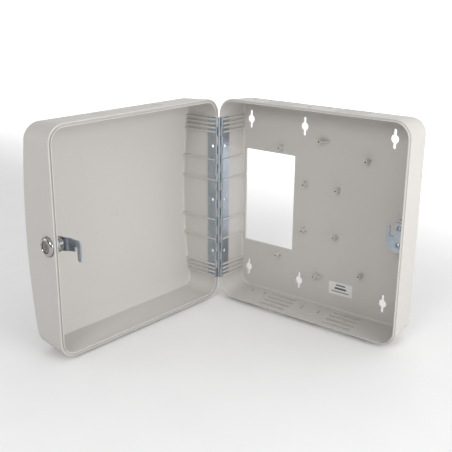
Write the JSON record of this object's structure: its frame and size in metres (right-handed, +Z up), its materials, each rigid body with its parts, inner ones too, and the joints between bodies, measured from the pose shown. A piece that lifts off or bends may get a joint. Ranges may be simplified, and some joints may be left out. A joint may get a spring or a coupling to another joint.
{
  "type": "fiber termination box",
  "caption": "Lockable surface-mount plastic enclosure with a hinged bowed door, keyhole wall fixings, cable opening, vents, knockouts and device bosses.",
  "frame": {"origin": "centre of the four corner wall-fixing keyholes, on the mounting face", "axes": "+X from the hinge side to the latch side, +Y into the wall, +Z up"},
  "size_m": [0.3547, 0.3275, 0.2816],
  "materials": {
    "shell_plastic": "fine moulded grain, satin",
    "plated_sheet": "bright zinc plate",
    "plated_wire": "drawn wire",
    "plated_screw": "zinc plate",
    "lock_chrome": "polished",
    "lock_core_metal": "nickel plated, lightly worn",
    "wafer_brass": "stamped",
    "label_film": "satin film"
  },
  "bodies": {
    "base": {"base_shell": "shell_plastic", "base_hinge_leaf": "plated_sheet", "hinge_pin": "plated_wire", "strike_plate": "plated_sheet", "strike_screws": "plated_screw", "blank_label": "label_film"},
    "door": {"door_shell": "shell_plastic", "door_hinge_leaf": "plated_sheet", "lock_barrel": "lock_chrome", "lock_washer": "plated_sheet", "lock_nut": "plated_screw"},
    "lock_core": {"lock_plug": "lock_core_metal", "lock_wafers": "wafer_brass", "wafer_springs": "plated_wire", "lock_cam": "plated_sheet", "cam_washer": "plated_sheet", "cam_screw": "plated_screw"}
  },
  "joints": [
    {"name": "door_hinge", "type": "hinge", "parent": "base", "child": "door", "pos_m": [-0.1258, -0.05, 0], "axis": [0, 0, 1], "range_deg": [-86.6, 93.4]},
    {"name": "lock_turn", "type": "hinge", "parent": "door", "child": "lock_core", "pos_m": [-0.15621, -0.32242, 0], "axis": [-0.0593, -0.9982, 0], "range_deg": [0, 90]}
  ]
}
